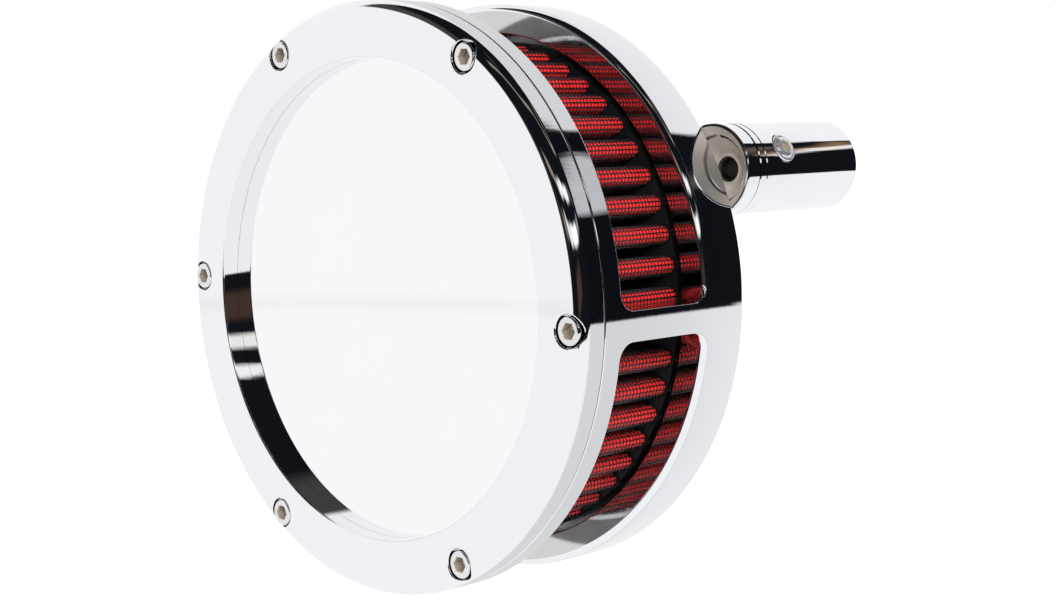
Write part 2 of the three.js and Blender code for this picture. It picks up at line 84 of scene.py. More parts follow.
SHOULDER_R = 3.2
RECESS_R = 69.5
HOLE_R = 4.55
HOLE_EDGE = 0.4
HEAD_R = 3.97
HEAD_HEIGHT = 4.83
SHANK_R = 2.4
SOCKET_ACROSS = 4.0
CAGE_BORE_R = 77.1
CAGE_LIP_R = 75.7
WINDOW_FRONT_Y = -55.75
WINDOW_REAR_Y = -21.6
WINDOW_CORNER = 5.0
EDGE_SMALL = 0.35
EDGE_LARGE = 1.8
STRUT_WIDTH = 8.4
STRUTS = 3
FLANGE_R = 65.0
FLANGE_FRONT_Y = -13.2
PLEATS = 52
VALLEY_R = 59.0
WIRE_PITCH = 1.38
WIRE_R = 0.185
CUP_MOUTH_R = 11.9
CUP_FLOOR_R = 4.6
CUP_FLOOR_Y = 1.9
CUP_SLOPE = (CUP_FLOOR_Y - PLATE_FRONT_Y) / (CUP_MOUTH_R - CUP_FLOOR_R)
NECK_FRONT_Y = -2.4
NECK_R = 9.8
PLUG_ANGLE = math.radians(29)
PLUG_Y = 12.4
PLUG_R = 4.2
SPOT_FACE_R = STANDOFF_R - 1.9
SCREEN_R = 55.6
CREST_ARC_R = 2.75
ROOT_HALF = 1.55
PLATE_R = 81.0
THROTTLE_R = 25.5
BELL_R = 3.0
SHANK_GAP = 0.2  # a hole's radius beyond its shank
FLANGE_HOLE_R = 2.2
THROTTLE_HOLE_R = 3.3
OVERSHOOT = 1.0  # how far a cutter starts outside the metal

# ---- Mesh helpers ----


def link(name, data):
    """A new object in the scene."""
    made = bpy.data.objects.new(name, data)
    bpy.context.scene.collection.objects.link(made)
    return made


def new_piece(name, verts, faces, materials, face_slots=None, sharp=30):
    """A smooth-shaded mesh object from points in millimetres."""
    mesh = bpy.data.meshes.new(name)
    mesh.from_pydata([Vector(v) * MM for v in verts], [], faces)
    for material in materials:
        mesh.materials.append(material)
    if face_slots:
        mesh.polygons.foreach_set("material_index", face_slots)
    mesh.validate()
    mesh.shade_smooth()
    mesh.set_sharp_from_angle(angle=math.radians(sharp))
    return link(name, mesh)


def grid_faces(rows, columns, wrap_rows, flip=False):
    """Quads over a grid of points that closes round its columns."""
    faces = []
    for i in range(rows if wrap_rows else rows - 1):
        for j in range(columns):
            a = i * columns + j
            b = i * columns + (j + 1) % columns
            c = (i + 1) % rows * columns + (j + 1) % columns
            d = (i + 1) % rows * columns + j
            faces.append((a, d, c, b) if flip else (a, b, c, d))
    return faces


def arc(centre_r, centre_y, radius, start, end, steps=8):
    """Profile points [r, y] on an arc. Angles in degrees, 0 is outwards and 90 is towards +Y."""
    points = []
    for i in range(steps + 1):
        angle = math.radians(start + (end - start) * i / steps)
        points.append((centre_r + radius * math.cos(angle), centre_y + radius * math.sin(angle)))
    return points


def supported(profile, closed=True, reach=0.12):
    """The profile with a point close to each end of its long straight stretches, which keeps flats flat."""
    points = []
    count = len(profile)
    for i in range(count if closed else count - 1):
        a = Vector(profile[i])
        b = Vector(profile[(i + 1) % count])
        points.append(tuple(a))
        length = (b - a).length
        if length > 6 * reach:
            points.append(tuple(a.lerp(b, reach / length)))
            points.append(tuple(b.lerp(a, reach / length)))
    if not closed:
        points.append(tuple(profile[-1]))
    return points


def lathe(name, profile, materials, steps=256, at=(0, 0, 0), slots=None, sharp=30):
    """A closed profile [r, y] turned about an axis along Y. Points on the axis share one vertex."""
    verts, faces, face_slots, rings = [], [], [], []
    for r, y in profile:
        count = steps if r > 1e-6 else 1
        rings.append(range(len(verts), len(verts) + count))
        for j in range(count):
            x, z = polar(r, TAU * j / steps)
            verts.append((at[0] + x, at[1] + y, at[2] + z))
    for i, ring in enumerate(rings):
        after = rings[(i + 1) % len(rings)]
        if len(ring) == 1 and len(after) == 1:
            continue
        for j in range(steps):
            k = (j + 1) % steps
            quad = [ring[j % len(ring)], after[j % len(after)], after[k % len(after)], ring[k % len(ring)]]
            faces.append(list(dict.fromkeys(quad)))
            face_slots.append(slots[i] if slots else 0)
    return new_piece(name, verts, faces, materials, face_slots, sharp)


def drill(radius, front, rear, at=(0, 0, 0), steps=32, materials=()):
    """A round cutter along Y."""
    profile = [(0, front), (radius, front), (radius, rear), (0, rear)]
    return lathe("cutter", profile, materials, steps, (at[0], 0, at[2]))


def hexagon(apothem):
    """The radius of a hexagon as a function of the angle."""
    return lambda angle: apothem / math.cos(angle % HEXAGON_SIDE - HEXAGON_SIDE / 2)


def turned(name, rows, ends, at, materials):
    """A closed solid of rows (radius or its function of the angle, y, slot) about an axis along Y.

    Ends gives the y of the points that close it."""
    columns = 72
    verts = []
    for r, y, _ in rows:
        for j in range(columns):
            angle = TAU * j / columns
            dx, dz = polar(r(angle) if callable(r) else r, angle)
            verts.append((at[0] + dx, y, at[2] + dz))
    faces = grid_faces(len(rows), columns, False)
    slots = [rows[i // columns][2] for i in range(len(faces))]
    for row, y, slot in zip((0, len(rows) - 1), ends, (0, 1)):
        first = row * columns
        faces += [(first + j, first + (j + 1) % columns, len(verts)) for j in range(columns)]
        slots += [slot] * columns
        verts.append((at[0], y, at[2]))
    return outwards(new_piece(name, verts, faces, materials, slots))


def cut(piece, cutters, operation="DIFFERENCE"):
    """Takes each cutter out of the piece, or joins it on, and leaves plain mesh."""
    for cutter in cutters:
        modifier = piece.modifiers.new("cut", "BOOLEAN")
        modifier.operation = operation
        modifier.solver = "EXACT"
        modifier.material_mode = "TRANSFER"
        modifier.object = cutter
    apply_modifiers(piece)
    for cutter in cutters:
        bpy.data.objects.remove(cutter)


def apply_modifiers(piece):
    bpy.context.view_layer.update()
    evaluated = piece.evaluated_get(bpy.context.evaluated_depsgraph_get())
    mesh = bpy.data.meshes.new_from_object(evaluated)
    piece.modifiers.clear()
    piece.data = mesh
    mesh.set_sharp_from_angle(angle=math.radians(30))


def profile_normals(profile, smooth=30):
    """The ends of every segment of a closed profile and the normal at each end."""
    points = np.array(profile, dtype=float)
    after = np.roll(points, -1, axis=0)
    along = after - points
    along /= np.linalg.norm(along, axis=1)[:, None]
    flat = np.stack([along[:, 1], -along[:, 0]], axis=1)
    before = np.roll(flat, 1, axis=0)
    shared = (flat * before).sum(axis=1) > math.cos(math.radians(smooth))
    start = np.where(shared[:, None], flat + before, flat)
    follows = np.roll(flat, -1, axis=0)
    end = np.where(np.roll(shared, -1)[:, None], flat + follows, flat)
    return points, after, flat, start, end


def true_normals(piece, profile, on_surface=0.03, alike=4.0):
    """Gives the faces that lie on the turned profile its exact normals, however they are cut up."""
    mesh = piece.data
    points, after, flat, start, end = profile_normals(profile)
    corners = len(mesh.loops)
    normals = np.empty(corners * 3, dtype=np.float32)
    mesh.corner_normals.foreach_get("vector", normals)
    normals = normals.reshape(-1, 3)
    places = np.empty(len(mesh.vertices) * 3, dtype=np.float32)
    mesh.vertices.foreach_get("co", places)
    places = places.reshape(-1, 3) / MM
    span = after - points
    length = (span ** 2).sum(axis=1)
    for polygon in mesh.polygons:
        x, y, z = polygon.center / MM
        r = math.hypot(x, z)
        if r < 1:
            continue
        t = np.clip((((r, y) - points) * span).sum(axis=1) / length, 0, 1)
        gap = np.linalg.norm(points + span * t[:, None] - (r, y), axis=1)
        k = int(gap.argmin())
        facing = (polygon.normal.x * x + polygon.normal.z * z) / r, polygon.normal.y
        side = facing[0] * flat[k][0] + facing[1] * flat[k][1]
        if gap[k] > on_surface or abs(side) < math.cos(math.radians(alike)):
            continue
        for corner_index in polygon.loop_indices:
            px, py, pz = places[mesh.loops[corner_index].vertex_index]
            pr = math.hypot(px, pz)
            share = ((pr - points[k][0]) * span[k][0] + (py - points[k][1]) * span[k][1]) / length[k]
            share = min(max(share, 0), 1)
            n = start[k] * (1 - share) / np.linalg.norm(start[k]) + end[k] * share / np.linalg.norm(end[k])
            n *= math.copysign(1, side) / np.linalg.norm(n)
            normals[corner_index] = (n[0] * px / pr, n[1], n[0] * pz / pr)
    mesh.normals_split_custom_set(normals.tolist())


def join(name, pieces):
    """One object from several, with their materials kept."""
    bm = bmesh.new()
    materials = []
    for piece in pieces:
        mesh = piece.data.copy()
        mesh.transform(piece.matrix_world)
        index = []
        for material in piece.data.materials:
            if material not in materials:
                materials.append(material)
            index.append(materials.index(material))
        for polygon in mesh.polygons:
            polygon.material_index = index[polygon.material_index]
        bm.from_mesh(mesh)
        bpy.data.meshes.remove(mesh)
    made = bpy.data.meshes.new(name)
    for material in materials:
        made.materials.append(material)
    bm.to_mesh(made)
    bm.free()
    for piece in pieces:
        bpy.data.objects.remove(piece)
    return link(name, made)


def belongs(piece, body, slot, *nodes):
    """Says which body a piece rides on and which nodes it stands for. The slot, its finish, is not used."""
    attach(piece, body)
    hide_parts(*nodes)


def outwards(piece):
    """The piece with its faces turned outwards."""
    bm = bmesh.new()
    bm.from_mesh(piece.data)
    bmesh.ops.recalc_face_normals(bm, faces=bm.faces)
    bm.to_mesh(piece.data)
    bm.free()
    return piece


def polar(r, angle):
    return r * math.cos(angle), r * math.sin(angle)


# ---- Materials ----


def material(name):
    made = bpy.data.materials.new(name)
    made.use_nodes = True
    tree = made.node_tree
    return made, tree, tree.nodes["Principled BSDF"]


def fill(tree, target, inputs):
    """Links the inputs that are given as sockets and sets the others."""
    for key, value in inputs.items():
        if isinstance(value, bpy.types.NodeSocket):
            tree.links.new(value, target.inputs[key])
        else:
            target.inputs[key].default_value = value


def node(tree, kind, inputs, **settings):
    made = tree.nodes.new(kind)
    for key, value in settings.items():
        setattr(made, key, value)
    fill(tree, made, inputs)
    return made


def object_place(tree):
    return node(tree, "ShaderNodeTexCoord", {}).outputs["Object"]


def noise(tree, scale, detail=3.0, roughness=0.5):
    inputs = {"Vector": object_place(tree), "Scale": scale, "Detail": detail, "Roughness": roughness}
    return node(tree, "ShaderNodeTexNoise", inputs).outputs["Fac"]


def bands(tree, scale, distortion, direction):
    inputs = {"Vector": object_place(tree), "Scale": scale, "Distortion": distortion}
    return node(tree, "ShaderNodeTexWave", inputs, bands_direction=direction).outputs["Fac"]


def multiply(tree, first, second):
    return node(tree, "ShaderNodeMath", {0: first, 1: second}, operation="MULTIPLY").outputs[0]


def remap(tree, value, low, high, to_low, to_high):
    inputs = {"Value": value, "From Min": low, "From Max": high, "To Min": to_low, "To Max": to_high}
    return node(tree, "ShaderNodeMapRange", inputs).outputs["Result"]


def blend_colour(tree, factor, first, second):
    return node(tree, "ShaderNodeMix", {0: factor, 6: first, 7: second}, data_type="RGBA").outputs[2]


def bump(tree, height, distance, strength=1.0, under=None):
    inputs = {"Height": height, "Distance": distance, "Strength": strength}
    if under:
        inputs["Normal"] = under
    return node(tree, "ShaderNodeBump", inputs).outputs["Normal"]


def plated(name, colour, tint, low, high, wave=0.00002):
    """Mirror plating: faint waves from polishing, hairline wipe marks and slightly duller patches."""
    made, tree, shader = material(name)
    patches = noise(tree, 26, 4, 0.6)
    wipes = noise(tree, 900, 2, 0.4)
    waves = bump(tree, noise(tree, 38, 1, 0.3), wave)
    fill(tree, shader, {
        "Base Color": blend_colour(tree, patches, (*colour, 1), (*tint, 1)),
        "Metallic": 1.0,
        "Roughness": remap(tree, multiply(tree, patches, wipes), 0.1, 0.45, low, high),
        "Normal": bump(tree, wipes, 0.0000012, 1.0, waves),
    })
    return made


def turned_metal(name, colour, tint, low=0.16, high=0.30, metallic=1.0):
    """Bare or nickel-coated metal with fine turning rings about Y."""
    made, tree, shader = material(name)
    patches = noise(tree, 160, 4, 0.6)
    fill(tree, shader, {
        "Base Color": blend_colour(tree, patches, (*colour, 1), (*tint, 1)),
        "Metallic": metallic,
        "Roughness": remap(tree, patches, 0.2, 0.8, low, high),
        "Normal": bump(tree, bands(tree, 5200, 1.5, "Y"), 0.000003),
    })
    return made


def cotton_gauze():
    """Red oiled cotton: crossed yarns about 0.45 mm apart, damp sheen, and painted shade that darkens it to
    near black towards the bottom of the folds.
    """
    made, tree, shader = material("red_gauze")
    parts = node(tree, "ShaderNodeSeparateXYZ", {"Vector": object_place(tree)}).outputs
    flat = node(tree, "ShaderNodeCombineXYZ", {"X": parts["X"], "Z": parts["Z"]}).outputs[0]
    radius = node(tree, "ShaderNodeVectorMath", {0: flat}, operation="LENGTH").outputs["Value"]
    # Painted shade: a measure by radius, 0 towards the fold bottoms and 1 at the crests.
    depth = remap(tree, radius, 0.0635, 0.0725, 0.0, 1.0)
    patches = noise(tree, 210, 4, 0.65)
    bright = blend_colour(tree, patches, (0.62, 0.004, 0.005, 1), (1.0, 0.014, 0.014, 1))
    weave = multiply(tree, bands(tree, 700, 0.6, "Y"), bands(tree, 700, 0.6, "DIAGONAL"))
    fill(tree, shader, {
        # Painted shade: near black at the fold bottoms, the cotton's red towards the crests.
        "Base Color": blend_colour(tree, depth, (0.012, 0.0006, 0.0008, 1), bright),
        "Roughness": 0.62,
        "Sheen Weight": 0.25,
        "Sheen Tint": (1, 0.2, 0.16, 1),
        "Normal": bump(tree, weave, 0.00012, 0.8),
    })
    return made


def coated(name, colour, tint, low, high, grain, depth, gloss=0.5):
    """A coated or moulded surface with a fine grain and patches of gloss."""
    made, tree, shader = material(name)
    patches = noise(tree, 140, 4, 0.6)
    fill(tree, shader, {
        "Base Color": blend_colour(tree, patches, (*colour, 1), (*tint, 1)),
        "Roughness": remap(tree, patches, 0.25, 0.75, low, high),
        "Specular IOR Level": gloss,
        "Normal": bump(tree, noise(tree, grain, 3), depth),
    })
    return made


CHROME = plated("chrome", (0.90, 0.905, 0.93), (0.86, 0.865, 0.90), 0.018, 0.05)
MIRROR = plated("mirror", (0.955, 0.955, 0.965), (0.935, 0.935, 0.95), 0.008, 0.02, 0.000004)
SCREW = plated("screw_chrome", (0.84, 0.83, 0.83), (0.74, 0.73, 0.73), 0.05, 0.16, 0.00001)
PLUG = turned_metal("bright_plug", (0.80, 0.80, 0.83), (0.66, 0.66, 0.70), 0.06, 0.14, metallic=0.88)
NICKEL = turned_metal("nickel", (0.50, 0.445, 0.38), (0.34, 0.30, 0.25), metallic=0.55)
CUP = turned_metal("satin_cup", (0.62, 0.565, 0.50), (0.50, 0.455, 0.40), 0.34, 0.46, metallic=0.35)
# Painted shade: dull, rough metal whose colour is darkened for the shade inside the breather bore.
DARK = turned_metal("dull_bore_painted_shade", (0.22, 0.19, 0.16), (0.14, 0.12, 0.10), 0.40, 0.55)
# Painted shade: this metal is darkened to stand for the shade in the cage's bore and front window walls; it
# is also less polished than the chrome.
BORE = turned_metal("dim_bore_painted_shade", (0.31, 0.31, 0.32), (0.22, 0.22, 0.23), 0.20, 0.30)
# Painted shade: a mirror finish whose colour is darkened for the shade on the window walls.
WALL = turned_metal("window_wall_painted_shade", (0.70, 0.69, 0.69), (0.60, 0.595, 0.60), 0.04, 0.08)
SATIN = turned_metal("satin_aluminium", (0.62, 0.62, 0.64), (0.52, 0.52, 0.54))
GAUZE = cotton_gauze()
WIRE = coated("black_wire", (0.010, 0.010, 0.012), (0.03, 0.03, 0.034), 0.16, 0.34, 2600, 0.00002)
URETHANE = coated("urethane", (0.002, 0.002, 0.0023), (0.005, 0.005, 0.006), 0.22, 0.42, 900, 0.00005, 0.07)
RUBBER = coated("rubber", (0.012, 0.012, 0.012), (0.03, 0.03, 0.03), 0.45, 0.65, 2400, 0.00003)

# ---- Cover ring, mirror insert and snap ring ----

SHOULDER = (OUTER_R - SHOULDER_R, FACE_Y + SHOULDER_R)


def cover_surface_y(r):
    """Front surface of the cover ring at a radius."""
    over = r - SHOULDER[0]
    if over <= 0:
        return FACE_Y
    return SHOULDER[1] - math.sqrt(max(SHOULDER_R ** 2 - over ** 2, 0))


def edge_liner(x, z):
    """The rounded mouth, wall and seat of one counterbore. Its lip follows the surface it opens in."""
    columns, steps = 72, 6
    seat = HEAD_TOP_Y + HEAD_HEIGHT
    hole, outer, behind = SHANK_R + SHANK_GAP, HOLE_R + HOLE_EDGE, seat + 0.5
    verts, rows = [], []
    for i in range(steps + 1):
        turn = math.radians(90 * i / steps)
        rows.append((HOLE_R + HOLE_EDGE * (1 - math.sin(turn)), HOLE_EDGE * (1 - math.cos(turn))))
    rows += [(HOLE_R, seat - 0.1), (HOLE_R, seat), (hole, seat), (hole, behind), (outer, behind)]
    for i, (r, y) in enumerate(rows):
        for j in range(columns):
            dx, dz = polar(r, TAU * j / columns)
            surface = cover_surface_y(math.hypot(x + dx, z + dz)) if i <= steps else 0
            verts.append((x + dx, surface + y, z + dz))
    return new_piece("liner", verts, grid_faces(len(rows), columns, True), [CHROME])


def cover_ring():
    bevel, rear_edge = 0.55, 0.2
    rebate_r = INSERT_R + FIT_GAP
    lip_y = INSERT_FRONT_Y - 0.05
    profile = supported([
        *arc(RECESS_R + bevel, FACE_Y + bevel, bevel, 180, 270, 5),
        *arc(*SHOULDER, SHOULDER_R, 270, 360, 20),
        *arc(OUTER_R - rear_edge, JOINT_Y - rear_edge, rear_edge, 0, 90, 4),
        (rebate_r, JOINT_Y),
        (rebate_r, lip_y),
        (RECESS_R, lip_y),
    ])
    ring = lathe("ring_body", profile, [CHROME], 360)
    cutters, liners = [], []
    for i in range(1, 7):
        spot = centre("cover_screw_%d" % i)
        seat = HEAD_TOP_Y + HEAD_HEIGHT + FIT_GAP
        cutters.append(drill(HOLE_R + HOLE_EDGE, FACE_Y - 4 * OVERSHOOT, seat, spot, 72))
        liners.append(edge_liner(spot.x, spot.z))
    cut(ring, cutters)
    joined = join("cover_ring_polished", [ring, *liners])
    true_normals(joined, profile)
    belongs(joined, "cover", "chrome", "cover_ring")


def cover_insert():
    edge = 0.25
    profile = supported([
        (0, INSERT_FRONT_Y),
        *arc(INSERT_R - edge, INSERT_FRONT_Y + edge, edge, 270, 360, 4),
        *arc(INSERT_R - edge, INSERT_REAR_Y - edge, edge, 0, 90, 4),
        (0, INSERT_REAR_Y),
    ], closed=False)
    belongs(lathe("cover_insert_mirror", profile, [MIRROR], 256), "cover", "chrome", "cover_insert")


def snap_ring():
    """A wire ring with broken edges and a gap at +X."""
    low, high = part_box("insert_snap_ring")
    outer = high.z / MM
    front, rear = low.y / MM, high.y / MM
    inner = outer - 1.6
    columns = 180
    gap = math.radians(4)
    edge = 0.2
    section = [(inner + edge, front), (outer - edge, front), (outer, front + edge), (outer, rear - edge),
               (outer - edge, rear), (inner + edge, rear), (inner, rear - edge), (inner, front + edge)]
    verts = []
    for j in range(columns):
        angle = gap + (TAU - 2 * gap) * j / (columns - 1)
        for r, y in section:
            x, z = polar(r, angle)
            verts.append((x, y, z))
    size = len(section)
    faces = grid_faces(columns, size, False)
    faces += [tuple(range(size)), tuple(range(len(verts) - size, len(verts)))[::-1]]
    piece = outwards(new_piece("snap_ring_wire", verts, faces, [SATIN]))
    belongs(piece, "cover", "aluminium", "insert_snap_ring")


# ---- Screws ----


def socket_screw(name, at, top_y, head_r, height, across, shank_r, length, finish):
    """A socket cap screw whose head is at top_y: rounded top edge, hexagonal socket with a broken edge."""
    chamfer, edge = 0.18, 0.55
    seat, tip = top_y + height, top_y + height + length
    socket_y = top_y + height * 0.6
    half = across / 2
    rows = [(shank_r - 0.3, tip, 0), (shank_r, tip - 0.5, 0), (shank_r, seat + 0.3, 0),
            (shank_r + 0.3, seat, 0), (head_r - 0.1, seat, 0), (head_r, seat - 0.1, 0),
            (head_r, top_y + edge + 0.1, 0)]
    rows += [(r, y, 0) for r, y in arc(head_r - edge, top_y + edge, edge, 0, -90, 6)]
    rows += [(hexagon(half + chamfer + 0.12), top_y, 0), (hexagon(half + chamfer), top_y, 1),
             (hexagon(half), top_y + chamfer, 1), (hexagon(half), top_y + chamfer + 0.05, 1),
             (hexagon(half), socket_y, 1), (across * 0.3, socket_y + 0.25, 1)]
    return turned(name, rows, (tip, socket_y + 0.9), at, [finish, NICKEL])


def cover_screws():
    for i in range(1, 7):
        node_name = "cover_screw_%d" % i
        length = corner(node_name, 1, "y") - corner(node_name, 0, "y") - HEAD_HEIGHT
        piece = socket_screw("cap_screw_%d" % i, centre(node_name), HEAD_TOP_Y, HEAD_R, HEAD_HEIGHT,
                             SOCKET_ACROSS, SHANK_R, length, SCREW)
        belongs(piece, "cover_screws", "screw_chrome", node_name)


def throttle_screws():
    head_r, height, across, shank_r = 4.76, 6.35, 4.76, 3.1
    for i in range(1, 4):
        node_name = "throttle_screw_%d" % i
        top = corner(node_name, 0, "y")
        length = corner(node_name, 1, "y") - top - height
        piece = socket_screw("throttle_cap_screw_%d" % i, centre(node_name), top, head_r, height, across,
                             shank_r, length, SATIN)
        belongs(piece, "base", "aluminium", node_name)


def flange_screws():
    """Countersunk screws seen from behind."""
    shank_r = 2.0
    socket = hexagon(1.25)
    for i in range(1, 4):
        node_name = "flange_screw_%d" % i
        tip, top = corner(node_name, 0, "y"), corner(node_name, 1, "y")
        head_r = (corner(node_name, 1, "x") - corner(node_name, 0, "x")) / 2
        rows = [(shank_r - 0.4, tip, 0), (shank_r, tip + 0.4, 0), (shank_r, top - 2.2, 0),
                (head_r, top - 0.35, 0), (head_r, top - 0.12, 0), (head_r - 0.15, top, 0),
                (lambda a: socket(a) + 0.2, top, 1), (socket, top - 0.15, 1), (socket, top - 1.4, 1)]
        piece = turned("countersunk_screw_%d" % i, rows, (tip, top - 1.7), centre(node_name), [SATIN, NICKEL])
        belongs(piece, "base", "aluminium", node_name)


# ---- Cage ----


def window_sides(first, last, spread):
    """The front and the rear side of one window as (angle, y, edge size) points at matching stations.

    The edge is rounded more along the rear. Spread 1 gives the outline pushed out by that rounding."""
    width = (last - first) * OUTER_R
    height = WINDOW_REAR_Y - WINDOW_FRONT_Y
    steps, straight = 10, 90
    sides = []
    for top in (False, True):
        middle = height - WINDOW_CORNER if top else WINDOW_CORNER
        turns = [180 + (-90 if top else 90) * k / steps for k in range(steps + 1)]
        points = [(WINDOW_CORNER, t) for t in turns]
        length = width - 2 * WINDOW_CORNER
        points += [(WINDOW_CORNER + length * k / straight, turns[-1]) for k in range(1, straight)]
        points += [(width - WINDOW_CORNER, 180 - t) for t in reversed(turns)]
        side = []
        for s, turn in points:
            ns, nt = math.cos(math.radians(turn)), math.sin(math.radians(turn))
            size = EDGE_SMALL + (EDGE_LARGE - EDGE_SMALL) * max(nt, 0) ** 2
            across = s + ns * (WINDOW_CORNER + size * spread)
            along = middle + nt * (WINDOW_CORNER + size * spread)
            side.append((first + across / OUTER_R, WINDOW_FRONT_Y + along, size))
        sides.append(side)
    return sides


def window_outline(first, last, spread):
    front, rear = window_sides(first, last, spread)
    return front + rear[::-1]


def window_cutter(first, last):
    """A block that opens one window, wide enough to leave room for its rounded edges."""
    inside, outside = CAGE_BORE_R - 4, OUTER_R + 3
    verts = []
    for (a, y, _), (b, z, _) in zip(*window_sides(first, last, 1)):
        for r, angle, depth in ((inside, a, y), (inside, b, z), (outside, b, z), (outside, a, y)):
            verts.append((r * math.cos(angle), depth, r * math.sin(angle)))
    count = len(verts) // 4
    faces = grid_faces(count, 4, False) + [(0, 1, 2, 3), tuple(range(len(verts) - 4, len(verts)))[::-1]]
    return outwards(new_piece("cutter", verts, faces, []))


def window_liner(first, last):
    """The rounded edges and walls of one window."""
    inner = window_outline(first, last, 0)
    outer = window_outline(first, last, 1)
    columns = []
    back, edge_steps, back_steps = 0.3, 8, 4
    for (a0, y0, size), (a1, y1, _) in zip(inner, outer):
        section = []
        for i in range(edge_steps + 1):
            turn = math.radians(90 * i / edge_steps)
            section.append((1 - math.sin(turn), OUTER_R - size * (1 - math.cos(turn))))
        section.append((0, OUTER_R - size - 0.1))
        section.append((0, CAGE_BORE_R + back + 0.1))
        for i in range(back_steps + 1):
            turn = math.radians(90 * i / back_steps)
            section.append((back / size * (1 - math.cos(turn)), CAGE_BORE_R + back * (1 - math.sin(turn))))
        section.append((1, CAGE_BORE_R))
        column = []
        for share, r in section:
            x, z = polar(r, a0 + (a1 - a0) * share)
            column.append((x, y0 + (y1 - y0) * share, z))
        columns.append(column)
    size = len(columns[0])
    verts = [p for column in columns for p in column]
    slots = []
    # Painted shade: the window walls take darkened metal, the front walls a darker one still.
    for _, y, _ in inner:
        wall = 2 if y < WINDOW_FRONT_Y + WINDOW_CORNER else 1
        slots += [wall if edge_steps < k < size - 1 else 0 for k in range(size)]
    faces = grid_faces(len(columns), size, True)
    return outwards(new_piece("window_liner", verts, faces, [CHROME, WALL, BORE], slots, sharp=40))


def cage():
    front_edge, rear_edge = 0.25, 0.5
    step_y = WINDOW_FRONT_Y + 0.02
    profile = supported([
        (CAGE_LIP_R, CAGE_FRONT_Y),
        *arc(OUTER_R - front_edge, CAGE_FRONT_Y + front_edge, front_edge, 270, 360, 4),
        *arc(OUTER_R - rear_edge, CAGE_REAR_Y - rear_edge, rear_edge, 0, 90, 5),
        (FLANGE_R, CAGE_REAR_Y),
        (FLANGE_R, FLANGE_FRONT_Y),
        (CAGE_BORE_R, FLANGE_FRONT_Y),
        (CAGE_BORE_R, step_y),
        (CAGE_LIP_R, step_y),
    ])
    # Painted shade: faces inside the cage's bore take the darkened metal.
    slots = [int(max(a[0], b[0]) < CAGE_BORE_R + 0.1) for a, b in zip(profile, profile[1:] + profile[:1])]
    body = lathe("cage_body", profile, [CHROME, BORE], 360, slots=slots)
    half = STRUT_WIDTH / 2 / OUTER_R
    cutters, liners = [], []
    for i in range(STRUTS):
        first = TAU * i / STRUTS + half
        last = TAU * (i + 1) / STRUTS - half
        cutters.append(window_cutter(first, last))
        liners.append(window_liner(first, last))
    for i in range(1, 7):
        node_name = "cover_screw_%d" % i
        end = corner(node_name, 1, "y") + FIT_GAP
        cutters.append(drill(SHANK_R + SHANK_GAP, CAGE_FRONT_Y - OVERSHOOT, end, centre(node_name)))
    for i in range(1, 4):
        node_name = "flange_screw_%d" % i
        tip = corner(node_name, 0, "y") - FIT_GAP
        cutters.append(drill(FLANGE_HOLE_R, tip, OVERSHOOT, centre(node_name)))
    cut(body, cutters)
    joined = join("cage_polished", [body, *liners])
    true_normals(joined, profile)
    belongs(joined, "base", "chrome", "cage")


# ---- Back plate and standoffs ----


